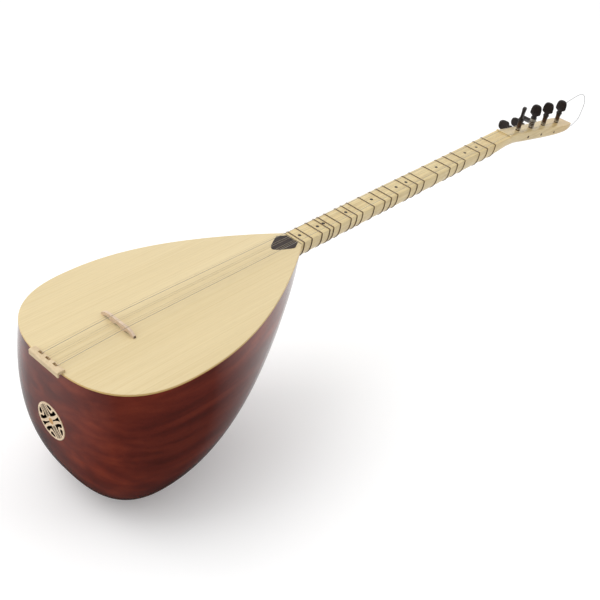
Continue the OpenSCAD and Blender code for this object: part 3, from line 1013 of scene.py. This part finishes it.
def make_fret(i, x, material):
    """Three turns of line round the neck and a knot on the far side.

    The line follows the neck's D section, drawn out by its own radius, while its place along the
    neck moves evenly from one edge of the fret to the other.
    """
    r = FRET_CORD / 2
    out = FRET_GAP + r
    section = dee(neck_half(x - 3) + out, neck_deep(x) + 2 * out + 0.1, 2.2, 41, 1.0)
    section[:, 1] += out
    section = np.roll(section, -4, axis=0)
    loop = np.concatenate([section, section[:1]])
    gone = np.concatenate([[0], np.cumsum(np.linalg.norm(np.diff(loop, axis=0), axis=1))])
    steps = 56 * FRET_TURNS
    share = np.linspace(0, FRET_TURNS, steps + 1)
    at = (share % 1) * gone[-1]
    y = np.interp(at, gone, loop[:, 0])
    z = np.interp(at, gone, loop[:, 1])
    spread = FRET_CORD * 1.03 * (FRET_TURNS - 1)
    path = stacked(x + spread * (share / FRET_TURNS - 0.5), y, z)
    turns = skin(domed(path, r, (1, 0.05, 0.02), 8))
    a = np.linspace(0.15, 2 * np.pi - 0.15, 44)
    knot = stacked(
        x + KNOT_SIZE * (np.sin(a) + 2 * np.sin(2 * a)),
        loop[0, 0] + KNOT_OUT - KNOT_THICK * np.sin(3 * a),
        loop[0, 1] - KNOT_DOWN + KNOT_SIZE * (np.cos(a) - 2 * np.cos(2 * a)),
    )
    tied = skin(domed(knot, r * 0.8, (0.1, 1, 0.05), 7))
    piece(
        f"fret_{i}_line",
        [turns, tied],
        material,
        f"fret_{i}_tied",
        [f"fret_{i}"],
        sharp=80,
    )


# ---- Pegs ----


def make_peg(k, material):
    """Tapered shaft, collar and flat waisted paddle, as superellipse sections along the peg.

    A section's half width and half thickness follow smooth lines through the turner's sizes, and
    its exponent grows from 2, round, to a rounded square.
    """
    up = PEG_IN[k]
    foot = PEG_R + PEG_SLOPE * PEG_FOOT
    place = [-PEG_LEN[k], 0, PEG_FOOT, 20.4, 22.0, 24.2, 25.8, 27.2, 30, 37, 42, 44.6, 45.8]
    grip = [PEG_R - PEG_SLOPE * PEG_LEN[k], PEG_R, foot, foot + 0.7, 5.0, 4.8, 7.2, 9.3]
    grip = grip + [10.2, 9.8, 8.3, 6.2, 3.6]
    thin = [grip[0], PEG_R, foot, foot + 0.7, 5.1, 4.4, 3.8, 3.3, 2.8, 2.9, 3.6, 3.5, 2.3]
    shape = [2, 2, 2, 2, 2, 2.2, 2.8, 3.4, 4.0, 4.0, 3.6, 3.0, 2.6]
    along = np.concatenate(
        [
            np.linspace(-PEG_LEN[k], PEG_FOOT, 14),
            np.linspace(19.4, 30, 24),
            np.linspace(30.8, 45.8, 28),
        ]
    )
    w = eased(along, place, grip)
    d = eased(along, place, thin)
    e = eased(along, place, shape)[:, None]
    a = np.linspace(0, 2 * np.pi, 40, endpoint=False)[None]
    x = w[:, None] * power(np.cos(a), 2 / e)
    y = d[:, None] * power(np.sin(a), 2 / e)
    lowered = along - up * np.clip(along / PEG_FOOT, 0, 1)
    local = stacked(x, y, lowered[:, None])
    turned = on_peg(k, local, PEG_TURN[k])
    name = f"peg_{k + 1}_turned"
    body = f"peg_{k + 1}_turning"
    made = piece(name, [skin(turned)], material, body, [f"peg_{k + 1}"], sharp=60)
    mark = made.data.attributes.new("along", "FLOAT", "POINT")
    ends = np.array([along[0], along[-1]])
    values = np.concatenate([np.repeat(along, a.shape[1]), ends])
    mark.data.foreach_set("value", values.astype(np.float32))


def make_winding(k, radius, spans, material):
    """Turns of string on a peg: a helix that hugs the taper, its rise given by spans of
    (height, turns so far)."""
    heights, turns = np.array(spans, float).T
    count = np.linspace(0, turns[-1], int(turns[-1] * 26))
    z = eased(count, turns, heights)
    r = PEG_R + PEG_SLOPE * z + radius
    a = 2 * np.pi * count + (0 if k % 2 else np.pi)
    path = on_peg(k, stacked(r * np.cos(a), r * np.sin(a), z))
    axis = on_peg(k, [0, 0, 1]) - on_peg(k, [0, 0, 0])
    piece(
        f"winding_{k + 1}_turns",
        [skin(domed(path, radius, axis, 8))],
        material,
        f"peg_{k + 1}_turning",
        [f"winding_{k + 1}"],
        sharp=80,
    )


# ---- Strings ----


def make_string(k, material):
    """One string from the tailpiece over the bridge and the nut to its peg: a tube along straight
    runs whose bends are rounded."""
    p = STRING_PEG[k]
    r = STRING_D[k] / 2
    stops = [
        (2, GROOVE_Y[k], 1),
        (2.5, GROOVE_Y[k], TAILPIECE_H + r),
        (BRIDGE_X, GROOVE_Y[k], BRIDGE_H + r),
        (NUT_X + 1.5, NUT_Y[k], NUT_H + r),
    ]
    if p >= FRONT_PEGS:
        along = SIDE_S[p - FRONT_PEGS]
        side = SIDE_Y[p - FRONT_PEGS]
        stops.append(head_point(along * 0.62, side + 0.2, 0.8))
        stops.append(head_point(along, side + WRAP_UP, -SIDE_N + WRAP_OUT))
    else:
        stops.append(head_point(FRONT_S[p], WRAP_OUT if p == 0 else -WRAP_OUT, WRAP_UP))
    path = rounded(np.array([list(q) for q in stops], float), 1.2)
    piece(
        f"string_{k + 1}_wire",
        [skin(domed(path, r, (0.02, 1, 0.03), 8))],
        material,
        "instrument",
        [f"string_{k + 1}"],
        sharp=80,
    )


def rounded(path, reach):
    """The path with each bend replaced by a parabola that starts and ends that far from it."""
    back = unit(path[:-2] - path[1:-1])
    on = unit(path[2:] - path[1:-1])
    f = np.linspace(0, 1, 6)[None, :, None]
    bend = path[1:-1, None]
    start = bend + back[:, None] * reach
    end = bend + on[:, None] * reach
    curve = start * (1 - f) ** 2 + 2 * bend * f * (1 - f) + end * f**2
    return np.concatenate([path[:1], curve.reshape(-1, 3), path[-1:]])


# ---- Studio ----


def make_floor():
    """A wide pale floor with a faint unevenness of tone.

    Reflections show it with a dark card laid in front of the bowl, which fades out to the side and
    ahead; the camera sees a faint glow instead, as on a floor lit from below.
    """
    material, shader = finish("studio_floor", Roughness=0.9, Emission_Color=(1, 1, 1, 1))
    cloud = noise(material, mapped(material, (1, 1, 1)), 1.5, 2.0, 0.5)
    pale = ramp(material, cloud, (0.3, grey(0.90)), (0.7, grey(0.92)))
    where = add(material, "TexCoord").outputs["Object"]
    side = add(material, "VectorMath", {0: where, 1: CARD_SIDE}, operation="DOT_PRODUCT")
    ahead = add(material, "VectorMath", {0: where, 1: CARD_AHEAD}, operation="DOT_PRODUCT")
    left = ranged(material, side.outputs["Value"], *CARD_SIDE_FADE, 0.0, 0.55)
    far = ranged(material, ahead.outputs["Value"], *CARD_AHEAD_FADE, 0.0, 1.0)
    card = ramp(
        material, maths(material, "MAXIMUM", left, far), (0.0, grey(0.05)), (1.0, grey(0.80))
    )
    seen = add(material, "LightPath").outputs
    colour = blended(material, seen["Is Glossy Ray"], pale, card)
    join(material, colour, shader, "Base Color")
    glow = maths(material, "MULTIPLY", seen["Is Camera Ray"], FLOOR_GLOW)
    join(material, glow, shader, "Emission Strength")
    half = FLOOR_HALF
    mesh = bpy.data.meshes.new("floor")
    corners = [(-half, -half, 0), (half, -half, 0), (half, half, 0), (-half, half, 0)]
    mesh.from_pydata(corners, [], [(0, 1, 2, 3)])
    floor = bpy.data.objects.new("floor", mesh)
    bpy.context.scene.collection.objects.link(floor)
    mesh.materials.append(material)


def softbox(name, place, toward, wide, high, watts):
    """A rectangular soft light that faces a point."""
    data = bpy.data.lights.new(name, "AREA")
    data.shape = "RECTANGLE"
    data.size = wide
    data.size_y = high
    data.energy = watts
    lamp = bpy.data.objects.new(name, data)
    bpy.context.scene.collection.objects.link(lamp)
    place = Vector(place)
    aim = (Vector(toward) - place).to_track_quat("-Z", "Y")
    lamp.matrix_world = Matrix.Translation(place) @ aim.to_matrix().to_4x4()


def light_studio():
    """Pale surroundings, darker on the near side except to the camera, and the soft lights."""
    world = bpy.data.worlds.new("studio")
    bpy.context.scene.world = world
    world.use_nodes = True
    backdrop = world.node_tree.nodes["Background"]
    toward = add(world, "TexCoord").outputs["Generated"]
    front = add(world, "VectorMath", {0: toward, 1: DARK_WAY}, operation="DOT_PRODUCT")
    shade = ranged(world, front.outputs["Value"], 0.15, 0.8, 1.0, 0.3)
    seen = add(world, "LightPath").outputs["Is Camera Ray"]
    colour = blended(world, maths(world, "MAXIMUM", seen, shade), (0, 0, 0, 1), (1, 1, 1, 1))
    world.node_tree.links.new(colour, backdrop.inputs["Color"])
    backdrop.inputs["Strength"].default_value = SKY
    for name, place, wide, high, watts in LIGHTS:
        softbox(name, place, LIGHTS_AIM, wide, high, watts)
    bpy.context.scene.view_settings.view_transform = "Standard"


# ---- The small pieces ----


def finish_braces():
    """The braces inside keep their CAD shape and get a wood of their own."""
    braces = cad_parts["soundboard_braces"]
    braces.data.materials.clear()
    braces.data.materials.append(plain_pale("brace_wood", BRACE_TONES))


def make_trim():
    """The small carved and inlaid pieces, each with its own rounding in millimetres."""
    low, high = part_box("rosette")
    rose = rosette_wood((low + high) / 2)
    tail = plain_pale("tailpiece_wood", TAILPIECE_TONES)
    bridge = bridge_wood()
    nut = plain_pale("nut_wood", NUT_TONES)
    inlay = dark_hardwood("inlay_wood", *INLAY_TONES, 0.12)
    edge = dark_hardwood("edge_wood", *EDGE_TONES, 0.2)
    eased_copy("rosette", "rosette_carving", rose, "instrument", 0.12)
    eased_copy("tailpiece", "tailpiece_bar", tail, "instrument", 0.4)
    eased_copy("bridge", "bridge_carved", bridge, "bridge_piece", 0.35)
    eased_copy("nut", "nut_strip", nut, "instrument", 0.2)
    eased_copy("inlay_leaf", "leaf_inlay", inlay, "instrument", 0.15)
    eased_copy("position_dots", "neck_dots", inlay, "instrument", 0.1)
    eased_copy("edge_line", "edge_strip", edge, "instrument", 0.1)


def make_long_wood(frets):
    """The neck with a pocket for each dot, and the head."""
    after = np.array(DOT_AFTER)
    dots = (frets[after - 1] + frets[after]) / 2
    make_neck(neck_wood("neck_lacquer", *NECK_TONES, NECK_WARMTH, NECK_WARM_FROM), dots)
    make_head(neck_wood("head_lacquer", *HEAD_TONES, HEAD_WARMTH, HEAD_WARM_FROM))


def make_pegs_and_strings():
    """Seven pegs with their turns of string, and the seven strings."""
    black = peg_wood()
    plain = wire("plain_steel", *PLAIN_TONES, 0.3)
    wound = wire("wound_steel", *WOUND_TONES, 0.35, WOUND_RIBS)
    for k in range(PEGS):
        make_peg(k, black)
        thick = k == THICK_PEG
        make_winding(k, *(THICK_TURNS if thick else THIN_TURNS), wound if thick else plain)
    for k in range(PEGS):
        make_string(k, wound if STRING_D[k] > WOUND_FROM else plain)


# ---- The whole instrument ----

set_camera()
make_loose_string(loose_wire())
make_bowl(bowl_lacquer())
make_soundboard(soundboard_wood())
finish_braces()
make_trim()

frets = fret_places()
make_long_wood(frets)
line = fret_line()
for number, x in enumerate(frets, start=1):
    make_fret(number, x, line)
make_pegs_and_strings()

make_floor()
light_studio()
